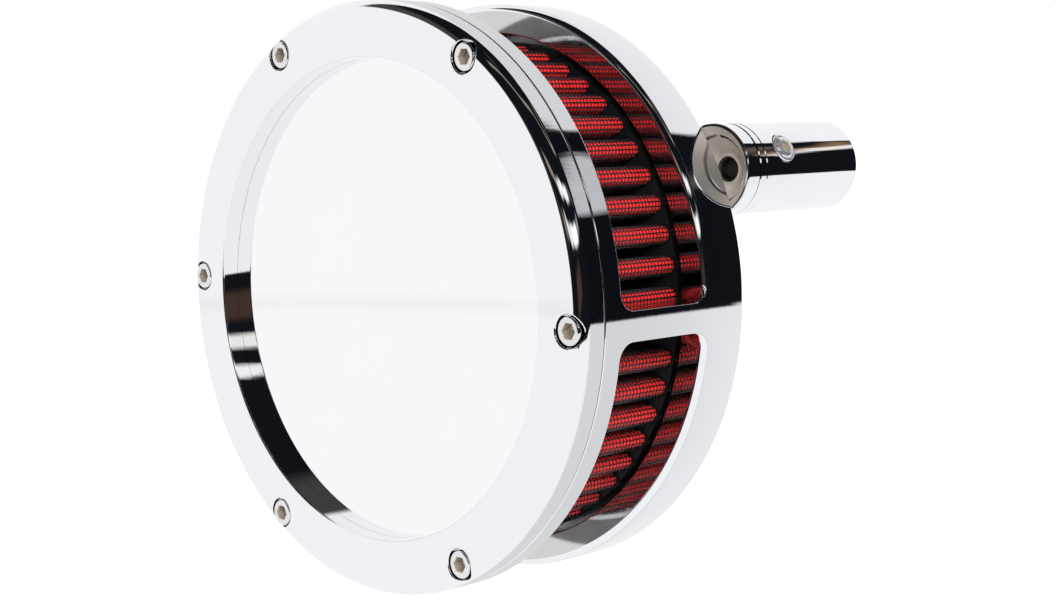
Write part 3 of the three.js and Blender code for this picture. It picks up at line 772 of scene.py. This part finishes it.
def back_plate():
    spigot_y = corner("back_plate", 0, "y")
    spigot_in, spigot_out, spigot_edge = 61.0, 64.7, 0.3
    profile = supported([
        *arc(THROTTLE_R + BELL_R, PLATE_FRONT_Y + BELL_R, BELL_R, 180, 270, 8),
        (spigot_in, PLATE_FRONT_Y), (spigot_in, spigot_y + spigot_edge),
        (spigot_in + spigot_edge, spigot_y), (spigot_out - spigot_edge, spigot_y),
        (spigot_out, spigot_y + spigot_edge), (spigot_out, PLATE_FRONT_Y),
        *arc(PLATE_R - 0.3, PLATE_FRONT_Y + 0.3, 0.3, 270, 360, 3),
        *arc(PLATE_R - 0.8, -0.8, 0.8, 0, 90, 5),
        (THROTTLE_R, 0),
    ])
    plate = lathe("plate", profile, [CHROME], 256)
    ear_profile = supported([
        (0, PLATE_FRONT_Y), *arc(STANDOFF_R - 0.4, PLATE_FRONT_Y + 0.4, 0.4, 270, 360, 4),
        (STANDOFF_R, -0.2), (STANDOFF_R - 0.2, 0), (0, 0),
    ])
    neck = NECK_R + 0.05
    outside = PLATE_FRONT_Y - OVERSHOOT
    mouth = [(0, outside), (CUP_MOUTH_R + 0.6, outside), (CUP_MOUTH_R + 0.35, PLATE_FRONT_Y),
             (CUP_MOUTH_R, PLATE_FRONT_Y + 0.35), (neck, CUP_FLOOR_Y - (neck - CUP_FLOOR_R) * CUP_SLOPE),
             (neck, OVERSHOOT), (0, OVERSHOOT)]
    countersink_r = 4.25
    countersunk = [(0, outside), (FLANGE_HOLE_R, outside), (FLANGE_HOLE_R, -2.6), (countersink_r, -0.25),
                   (countersink_r, OVERSHOOT), (0, OVERSHOOT)]
    ears, cutters = [], []
    for side in (1, -1):
        place = (side * STANDOFF.x, 0, STANDOFF.z)
        ears.append(lathe("ear", ear_profile, [CHROME], 144, place))
        cutters.append(lathe("cutter", mouth, [CUP], 144, place))
    for i in range(1, 4):
        spot = centre("flange_screw_%d" % i)
        cutters.append(lathe("cutter", countersunk, [CHROME], 48, (spot.x, 0, spot.z)))
        spot = centre("throttle_screw_%d" % i)
        cutters.append(drill(THROTTLE_HOLE_R, outside, OVERSHOOT, spot, 48, [CHROME]))
    seal_in, half, depth = 27.6, 1.4, 2.4
    seal = (corner("throttle_seal", 1, "z") + seal_in) / 2
    for low, high, front, rear in ((seal - half, seal + half, -depth, OVERSHOOT),
                                   (66.0, 68.4, outside, PLATE_FRONT_Y + 2)):
        groove = [(low, front), (high, front), (high, rear), (low, rear)]
        cutters.append(lathe("cutter", groove, [CHROME], 256))
    cut(plate, ears, "UNION")
    cut(plate, cutters)
    plate.name = "back_plate_polished"
    true_normals(plate, profile)
    belongs(plate, "base", "chrome", "back_plate")


def turn_to_port(piece, side):
    """Turns a piece built along +Y at the origin so that it stands on the standoff's breather port."""
    direction = Vector((side * math.cos(PLUG_ANGLE), 0, math.sin(PLUG_ANGLE)))
    turn = Vector((0, 1, 0)).rotation_difference(direction).to_matrix().to_4x4()
    place = Matrix.Translation(Vector((side * STANDOFF.x, PLUG_Y, STANDOFF.z)) * MM)
    piece.data.transform(place @ turn)


def standoffs():
    lip = CUP_FLOOR_R + (CUP_FLOOR_Y - NECK_FRONT_Y) / CUP_SLOPE
    end = STANDOFF_END_Y
    groove = STANDOFF_R - 0.2
    breather_r, bolt_r, bolt_y = 6.4, 3.1, 5.3
    seal_in, seal_out, seal_depth = 8.5, 10.5, 1.5
    chrome_part = [
        (lip + 0.15, NECK_FRONT_Y), (NECK_R, NECK_FRONT_Y), (NECK_R, 0.4), (STANDOFF_R - 0.25, 0.4),
        (STANDOFF_R, 0.65), (STANDOFF_R, 2.9), (groove, 3.1), (groove, 3.25), (STANDOFF_R, 3.45),
        *arc(STANDOFF_R - 0.5, end - 0.5, 0.5, 0, 90, 5),
        (seal_out, end), (seal_out, end - seal_depth), (seal_in, end - seal_depth), (seal_in, end),
    ]
    bore = [*arc(breather_r + 0.6, end - 0.6, 0.6, 90, 180, 4), (breather_r, bolt_y), (bolt_r, bolt_y),
            (bolt_r, CUP_FLOOR_Y + 0.6)]
    cup = [(bolt_r + 0.6, CUP_FLOOR_Y), (CUP_FLOOR_R, CUP_FLOOR_Y)]
    profile = supported(chrome_part + bore + cup)
    # Painted shade: the breather bore takes the darkened metal, the cup floor the satin finish.
    slots, slot = [], 0
    for point in profile:
        if min((Vector(point) - Vector(first)).length for first in (bore[0], cup[0])) < 1e-5:
            slot += 1
        slots.append((0, 2, 1)[slot])
    outside = STANDOFF_R + 3
    for name, side in (("right", 1), ("left", -1)):
        tube = lathe("standoff_%s_tube" % name, profile, [CHROME, CUP, DARK], 144,
                     (side * STANDOFF.x, 0, STANDOFF.z), slots)
        cutters = [drill(PLUG_R + FIT_GAP, SPOT_FACE_R, outside, steps=64, materials=[CHROME]),
                   drill(2.6, 5, outside, steps=64, materials=[CHROME])]
        for cutter in cutters:
            turn_to_port(cutter, side)
        cut(tube, cutters)
        belongs(tube, "base", "chrome", "standoff_" + name)
        plug = breather_plug("breather_plug_%s_dome" % name)
        turn_to_port(plug, side)
        belongs(plug, "base", "screw_chrome", "breather_plug_" + name)
        inner, low, high, edge = 2.7, SPOT_FACE_R + 0.25, SPOT_FACE_R + 1.0, 0.15
        section = [(inner, low), (PLUG_R - edge, low), (PLUG_R, low + edge), (PLUG_R, high - edge),
                   (PLUG_R - edge, high), (inner, high)]
        washer = lathe("plug_washer_%s_ring" % name, section, [SATIN], 64)
        turn_to_port(washer, side)
        belongs(washer, "base", "aluminium", "plug_washer_" + name)


def breather_plug(name):
    """Low domed plug with a hexagonal socket, built along +Y."""
    seat = SPOT_FACE_R + 1.3
    stem, stem_r = seat - 3.4, 2.4
    top = seat + 1.6
    socket = 1.6
    rows = [(stem_r - 0.2, stem, 0), (stem_r, stem + 0.2, 0), (stem_r, seat, 0), (PLUG_R - 0.15, seat, 0),
            (PLUG_R, seat + 0.15, 0)]
    dome = ((PLUG_R, 0.5), (4.1, 0.72), (3.85, 0.86), (3.55, 0.86), (3.4, 0.68), (3.25, 0.86), (2.95, 1.2),
            (2.5, 1.45), (2.2, 1.55))
    rows += [(r, seat + y, 0) for r, y in dome]
    rows += [(hexagon(socket + 0.3), top, 0), (hexagon(socket + 0.12), top, 1),
             (hexagon(socket), top - 0.12, 1), (hexagon(socket), seat + 0.6, 1)]
    return turned(name, rows, (stem, seat + 0.3), (0, 0, 0), [PLUG, NICKEL])


def o_rings():
    """The rubber O-rings, each as fat as its node is deep."""
    for name in ("flange_seal", "throttle_seal", "head_seal_right", "head_seal_left"):
        low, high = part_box(name)
        middle = (low + high) / 2 / MM
        section = (high.y - low.y) / 2 / MM
        radius = (high.x - low.x) / 2 / MM - section
        ring = lathe(name + "_cord", arc(radius, middle.y, section, 0, 360 - 22.5, 15), [RUBBER], 128,
                     (middle.x, 0, middle.z))
        belongs(ring, "base", "rubber", name)


# ---- Filter element ----


def pleat_profile(offset):
    """One pleat from valley to valley as (angle, radius) points, sunk by an offset below its surface."""
    steps = 8
    half_pitch = math.pi / PLEATS
    crest_centre = CREST_R - CREST_ARC_R
    lean = math.atan2(CREST_ARC_R - ROOT_HALF, crest_centre - VALLEY_R)
    points = []
    for i in range(steps + 1):
        turn = -math.pi / 2 - lean + (math.pi + 2 * lean) * i / steps
        across = (CREST_ARC_R - offset) * math.sin(turn)
        up = crest_centre + (CREST_ARC_R - offset) * math.cos(turn)
        points.append((math.atan2(across, up), math.hypot(across, up)))
    valley_r = VALLEY_R - offset
    root_r, toe_r = valley_r + 1.2, valley_r + 0.25
    root, toe = (ROOT_HALF - offset) / root_r, half_pitch * 0.75
    return [(-toe, toe_r), (-root, root_r), *points, (root, root_r), (toe, toe_r), (half_pitch, valley_r)]


def pleat_loop(offset):
    """The whole pleated outline as (x, z) points."""
    loop = []
    for i in range(PLEATS):
        start = TAU * (i + 0.5) / PLEATS
        loop += [polar(r, start + a) for a, r in pleat_profile(offset)]
    return loop


def gauze():
    """The folded cotton between the two caps."""
    outer, inner = pleat_loop(0.35), pleat_loop(1.3)
    front, rear = MEDIA_FRONT_Y - 0.2, MEDIA_REAR_Y + 0.2
    rows = ((outer, front), (outer, rear), (inner, rear), (inner, front))
    verts = [(x, y, z) for loop, y in rows for x, z in loop]
    piece = outwards(new_piece("pleated_gauze", verts, grid_faces(4, len(outer), True), [GAUZE], sharp=60))
    belongs(piece, "filter", "cotton", "filter_gauze")


def resample(loop, spacing):
    """Points at an even spacing along a closed outline, with the direction out of it."""
    points = [Vector(p) for p in loop]
    sides = list(zip(points, points[1:] + points[:1]))
    total = sum((b - a).length for a, b in sides)
    count = round(total / spacing)
    step = total / count
    placed, walked, due = [], 0.0, 0.0
    for a, b in sides:
        length = (b - a).length
        while due < walked + length - 1e-9:
            direction = (b - a) / length
            placed.append((a + direction * (due - walked), Vector((direction.y, -direction.x))))
            due += step
        walked += length
    return placed


def add_wire(verts, faces, stations, closed):
    """Adds a wire of square section through stations of a place and two directions across it."""
    first = len(verts)
    for place, u, v in stations:
        verts += [place + u * WIRE_R, place + v * WIRE_R, place - u * WIRE_R, place - v * WIRE_R]
    faces += [tuple(first + n for n in f) for f in grid_faces(len(stations), 4, closed)]
    if not closed:
        faces += [(first, first + 1, first + 2, first + 3), (first + 7, first + 6, first + 5, first + 4)]


def wire_mesh():
    """Epoxy-coated wires: rings that follow the pleats, and straight wires laid over them."""
    verts, faces = [], []
    loop = [Vector((x, 0, z)) for x, z in pleat_loop(0.12)]
    axis = Vector((0, 1, 0))
    outward = []
    for i in range(len(loop)):
        along = (loop[(i + 1) % len(loop)] - loop[i - 1]).normalized()
        outward.append(Vector((along.z, 0, -along.x)))
    rings = round((MEDIA_REAR_Y - MEDIA_FRONT_Y) / WIRE_PITCH)
    for k in range(rings + 1):
        y = MEDIA_FRONT_Y + (MEDIA_REAR_Y - MEDIA_FRONT_Y) * k / rings
        add_wire(verts, faces, [(p + axis * y, axis, out) for p, out in zip(loop, outward)], True)
    for p, out in resample(pleat_loop(-0.08), WIRE_PITCH):
        side, away = Vector((-out.y, 0, out.x)), Vector((out.x, 0, out.y))
        ends = (MEDIA_FRONT_Y - 0.3, MEDIA_REAR_Y + 0.3)
        add_wire(verts, faces, [(Vector((p.x, y, p.y)), side, away) for y in ends], False)
    piece = outwards(new_piece("pleat_wires", verts, faces, [WIRE], sharp=100))
    belongs(piece, "filter", "wire", "filter_wire_mesh")


def filter_caps():
    """Urethane end caps. The inner face of each climbs into the folds, and a bead seals every crest."""
    inner, bore, rim, edge = 52.6, SCREEN_R - 0.9, CREST_R - 0.25, 0.7
    for name, face_y, sign, node_name in (("rear_cap_moulding", REAR_CAP_Y, -1, "filter_rear_cap"),
                                          ("front_cap_moulding", FRONT_CAP_Y, 1, "filter_front_cap")):
        section = [(inner, edge), (inner + edge, 0), (rim - edge, 0), (rim, edge), (rim, 6.9),
                   (rim - 0.5, 7.4), (VALLEY_R - 1, 17), (bore, 17), (bore, 6), (inner, 5.6)]
        profile = [(r, face_y + sign * depth) for r, depth in section]
        ring = outwards(lathe("ring", supported(profile), [URETHANE], 208))
        beads = crest_beads(face_y + sign * 7.4)
        belongs(join(name, [ring, beads]), "filter", "urethane", node_name)


def crest_beads(y):
    """A small bead of urethane round the end of every crest."""
    verts, faces = [], []
    sides, bead_r = 8, 0.62
    path = pleat_profile(0.05)[2:-3]
    for i in range(PLEATS):
        start = TAU * (i + 0.5) / PLEATS
        first = len(verts)
        for k, (angle, radius) in enumerate(path):
            swell = bead_r * math.sin(math.pi * (k + 0.6) / (len(path) + 0.2)) ** 0.5
            base = Vector(polar(radius, start + angle))
            out = Vector(polar(1, start + angle * 9))
            for s in range(sides):
                t = TAU * s / sides
                q = base + out * swell * math.cos(t)
                verts.append((q.x, y + swell * math.sin(t), q.y))
        faces += [tuple(first + n for n in f) for f in grid_faces(len(path), sides, False)]
        last = len(verts) - sides
        faces += [tuple(range(first, first + sides)), tuple(range(last, last + sides))[::-1]]
    return outwards(new_piece("beads", verts, faces, [URETHANE], sharp=80))


def inner_screen():
    """Perforated sleeve: a sheet with a staggered grid of round holes."""
    columns, rows = 96, 11
    height = (MEDIA_REAR_Y - MEDIA_FRONT_Y) / rows
    width = TAU * SCREEN_R / columns
    hole, thickness = 1.15, 0.7
    cell = ((-0.5, -0.5), (0, -0.5), (0.5, -0.5), (0.5, 0), (0.5, 0.5), (0, 0.5), (-0.5, 0.5), (-0.5, 0))
    verts, faces, index = [], [], {}

    def vertex(s, t):
        key = (round(s / width * 96) % (columns * 96), round(t, 4))
        if key not in index:
            index[key] = len(verts)
            x, z = polar(SCREEN_R - 0.1, s / SCREEN_R)
            verts.append((x, MEDIA_FRONT_Y + t, z))
        return index[key]

    for i in range(rows):
        for j in range(columns):
            s, t = (j + 0.5 + 0.5 * (i % 2)) * width, (i + 0.5) * height
            outer = [vertex(s + u * width, t + v * height) for u, v in cell]
            ring = []
            for k in range(8):
                turn = math.radians(225 + 45 * k)
                ring.append(vertex(s + hole * math.cos(turn), t + hole * math.sin(turn)))
            faces += [(outer[k], outer[(k + 1) % 8], ring[(k + 1) % 8], ring[k]) for k in range(8)]
    piece = outwards(new_piece("perforated_sleeve", verts, faces, [WIRE], sharp=40))
    solid = piece.modifiers.new("thickness", "SOLIDIFY")
    solid.thickness = thickness * MM
    solid.offset = -1
    apply_modifiers(piece)
    belongs(piece, "filter", "wire", "filter_inner_screen")


cover_ring()
cover_insert()
snap_ring()
cover_screws()
cage()
back_plate()
throttle_screws()
flange_screws()
standoffs()
o_rings()
gauze()
wire_mesh()
filter_caps()
inner_screen()

# ---- Floor, lights and camera ----

FLOOR_Z = -0.30
KEY_PLACE = Vector((1.0, -0.9, 0.8))
KEY_AIM = Vector((0.05, -0.03, 0))
CAMERA_PLACE = Vector((0.40355, -0.40763, 0.06713))
CAMERA_TURNS = (45.067, 7.221, 0.734)  # yaw, pitch and roll in degrees


def plain(name, colour, strength):
    """A matt surface that also glows."""
    made, tree, shader = material(name)
    fill(tree, shader, {"Base Color": (*colour, 1), "Roughness": 0.9, "Specular IOR Level": 0.0,
                        "Emission Color": (*colour, 1), "Emission Strength": strength})
    return made


def floor():
    mesh = bpy.data.meshes.new("floor")
    half = 12
    corners = ((-half, -half), (half, -half), (half, half), (-half, half))
    mesh.from_pydata([(x, y, FLOOR_Z) for x, y in corners], [], [(0, 1, 2, 3)])
    mesh.materials.append(plain("floor", (0.93, 0.93, 0.935), 0.35))
    made = link("floor", mesh)
    made.visible_glossy = False


# What the polished metal sees, in degrees round a shell about the object. Azimuth 0 is +Y and 90 is +X.
DARK_ROOM = (0.006, 0.007, 0.010)
TENT_WHITE = (0.99, 0.99, 0.995)
TENT_LEFT = [
    (-158, -30), (-158, 8), (-153, 16), (-146, 20), (-139, 27), (-133, 33), (-126, 38), (-120, 44),
    (-117, 49), (-112, 57), (-103, 64), (-95, 67), (-84, 70), (-70, 72), (-55, 71), (-30, 66), (-10, 63),
    (0, 61), (0, -30),
]
TENT_RIGHT = [
    (-6, 62), (20, 59), (30, 54), (37, 47.5), (32, 40.5), (30, 35), (26.3, 30.5), (25, 20), (25, -30),
    (-6, -30),
]
HORIZON = [
    (-180, -9), (-146, -8), (0, -8), (25, 2), (40, 0.2), (44, -1.3), (48, -4), (57, -5), (75, -6), (90, -8),
    (135, -8.5), (145, -10), (180, -9),
]
HORIZON_SOFTNESS = 0.6
FOLD = -7.0  # elevation of a faint fold in the tent's left side
FOLD_SHADE = 0.06
# A soft shade round +Y: degrees away from it, width, depth.
SHADE_RING, SHADE_WIDTH, SHADE_DEPTH = 56, 9, 0.26
DOME_R = 0.35
DOME_CENTRE = (0, -0.03, 0)
SCRIM = [(-146, 12), (-150, 22), (-156, 31), (-162, 40), (-145, 47), (-125, 52), (-112, 56), (-125, 35)]
CARD = [(43, 41), (46, 40), (52, 33), (54.5, 27), (54.5, 25), (49, 25), (46, 29), (43.5, 36)]
# Outlines filled with one colour: corners, colour, softness of the edge.
PANELS = [
    (SCRIM, (0.055, 0.054, 0.050), 9),
    (TENT_LEFT, TENT_WHITE, 4),
    (TENT_RIGHT, TENT_WHITE, 0.9),
    (CARD, (0.74, 0.75, 0.77), 1.5),
]
# Strips of light: a line of points, half the width, colour, softness of the edge.
STRIPS = [
    ([(-178, 6), (-170, 12), (-163, 17)], 3.0, (0.07, 0.045, 0.035), 4),
    ([(29, 29.5), (33.3, 27), (36.3, 26.5), (41, 24.3)], 0.9, (0.30, 0.17, 0.09), 1.2),
    ([(31, 25.5), (33.5, 25.2), (36.5, 25)], 1.3, (1.0, 0.95, 0.85), 1.0),
    ([(36.5, 25), (42, 22.2)], 0.7, (0.90, 0.88, 0.82), 0.8),
    ([(36, 31), (42, 27.5)], 1.2, (0.13, 0.11, 0.09), 2),
    ([(74, 26), (83, 24.5), (93, 23)], 2.2, (0.30, 0.30, 0.30), 1.5),
    ([(98, 22.5), (107, 21.5), (115, 20), (123, 19), (132, 18)], 2.8, (1.15, 1.15, 1.15), 1.5),
    ([(137, 17), (149, 14.5), (156, 15.5)], 2.6, (0.95, 0.92, 0.88), 1.5),
    ([(161, 13), (174, 10)], 2.2, (0.22, 0.19, 0.16), 2),
    ([(75, 32), (83, 35), (92, 34.5)], 2.0, (0.13, 0.12, 0.12), 2),
    ([(98, 34), (108, 33), (117, 31.5), (125, 32), (135, 30)], 2.4, (1.05, 1.05, 1.05), 1.5),
    ([(139, 28), (145, 27)], 2.4, (1.0, 1.0, 1.0), 1.5),
    ([(149, 26), (160, 26.5), (171, 23.5)], 2.2, (0.34, 0.28, 0.22), 2),
    ([(55, 60), (65, 47.5), (78, 48), (88, 53), (100, 61), (115, 61), (128, 60), (145, 61), (160, 61),
      (172, 57), (180, 52)], 1.8, (0.34, 0.29, 0.23), 2),
    ([(122, 8), (134, 4), (146, 1)], 5.0, (0.06, 0.036, 0.026), 4),
    ([(148, 71), (160, 76)], 1.5, (0.12, 0.12, 0.12), 2),
]


def line_distance(points, azimuth, elevation, closed):
    """How far each direction is from a line through the points."""
    nearest = np.full(azimuth.shape, np.inf)
    for (a0, e0), (a1, e1) in zip(points, points[1:] + points[:1] if closed else points[1:]):
        da, de = a1 - a0, e1 - e0
        along = np.clip(((azimuth - a0) * da + (elevation - e0) * de) / (da ** 2 + de ** 2), 0, 1)
        nearest = np.minimum(nearest, np.hypot(azimuth - a0 - along * da, elevation - e0 - along * de))
    return nearest


def enclosed(points, azimuth, elevation):
    """Whether each direction lies inside the outline."""
    inside = np.zeros(azimuth.shape, dtype=bool)
    for (a0, e0), (a1, e1) in zip(points, points[1:] + points[:1]):
        if e0 != e1:
            crossing = a0 + (a1 - a0) * (elevation - e0) / (e1 - e0)
            inside ^= ((elevation < e0) != (elevation < e1)) & (azimuth < crossing)
    return inside


def soft(depth, softness):
    """0 well outside an edge and 1 well inside it. Depth is the distance inwards."""
    t = np.clip(depth / softness + 0.5, 0, 1)
    return (t * t * (3 - 2 * t))[..., None]


def studio_colours(azimuth, elevation):
    """The colour of the shell in each direction."""
    colours = np.broadcast_to(DARK_ROOM, (*azimuth.shape, 3))
    for points, colour, softness in PANELS:
        distance = line_distance(points, azimuth, elevation, True)
        depth = np.where(enclosed(points, azimuth, elevation), distance, -distance)
        colours = colours + (np.array(colour) - colours) * soft(depth, softness)
    for points, half, colour, softness in STRIPS:
        depth = half - line_distance(points, azimuth, elevation, False)
        colours = colours + (np.array(colour) - colours) * soft(depth, softness)
    horizon = np.interp(azimuth, *zip(*HORIZON))
    colours = colours + (np.array(TENT_WHITE) - colours) * soft(horizon - elevation, HORIZON_SOFTNESS)
    fold = soft(0.5 - np.abs(elevation - FOLD), 1.0) * soft(-100 - azimuth, 20)
    colours = colours * (1 - FOLD_SHADE * fold)
    away = np.degrees(np.arccos(np.cos(np.radians(elevation)) * np.cos(np.radians(azimuth))))
    band = np.exp(-(((away - SHADE_RING) / SHADE_WIDTH) ** 2))
    return colours * (1 - SHADE_DEPTH * band)[..., None]


def dome():
    """A shell that only polished surfaces see. It stands for a light tent in a dark room."""
    elevations = np.concatenate([np.arange(-90, -12), np.arange(-12, 8, 0.25), np.arange(8, 91)])
    azimuths = np.arange(-180, 180, dtype=float)
    azimuth, elevation = np.meshgrid(azimuths, elevations)
    turn, up = np.radians(azimuth), np.radians(elevation)
    directions = np.stack([np.sin(turn) * np.cos(up), np.cos(turn) * np.cos(up), np.sin(up)], axis=-1)
    verts = directions.reshape(-1, 3) * DOME_R + DOME_CENTRE
    colours = np.ones((verts.shape[0], 4))
    colours[:, :3] = studio_colours(azimuth, elevation).reshape(-1, 3)
    mesh = bpy.data.meshes.new("studio_dome")
    mesh.from_pydata(verts.tolist(), [], grid_faces(len(elevations), len(azimuths), False))
    shade = mesh.color_attributes.new("shade", "FLOAT_COLOR", "POINT")
    shade.data.foreach_set("color", colours.ravel())
    glowing, tree, shader = material("studio_dome")
    tree.nodes.remove(shader)
    seen = node(tree, "ShaderNodeAttribute", {}, attribute_name="shade").outputs["Color"]
    glow = node(tree, "ShaderNodeEmission", {"Color": seen, "Strength": 1.0})
    tree.links.new(glow.outputs[0], tree.nodes["Material Output"].inputs["Surface"])
    mesh.materials.append(glowing)
    made = link("studio_dome", mesh)
    made.visible_camera = False
    made.visible_diffuse = False
    made.visible_shadow = False
    made.visible_transmission = False


def studio():
    world = bpy.data.worlds.new("studio")
    bpy.context.scene.world = world
    world.use_nodes = True
    tree = world.node_tree
    fill(tree, tree.nodes["Background"], {"Color": (1, 1, 1, 1), "Strength": 1.0})
    dome()
    key = bpy.data.lights.new("key", "AREA")
    key.shape = "RECTANGLE"
    key.size, key.size_y = 0.9, 0.6
    key.energy = 30
    holder = link("key", key)
    holder.visible_glossy = False
    holder.location = KEY_PLACE
    holder.rotation_euler = (KEY_AIM - KEY_PLACE).to_track_quat("-Z", "Y").to_euler()


def camera():
    yaw, pitch, roll = (math.radians(v) for v in CAMERA_TURNS)
    level = Matrix.Rotation(yaw, 4, "Z") @ Matrix.Rotation(math.pi / 2 - pitch, 4, "X")
    data = bpy.data.cameras.new("camera")
    data.sensor_width = 36
    data.lens = 62.64
    data.clip_start = 0.01
    holder = link("camera", data)
    holder.matrix_world = Matrix.Translation(CAMERA_PLACE) @ level @ Matrix.Rotation(roll, 4, "Z")
    bpy.context.scene.camera = holder


floor()
studio()
camera()
bpy.context.scene.view_settings.view_transform = "Standard"
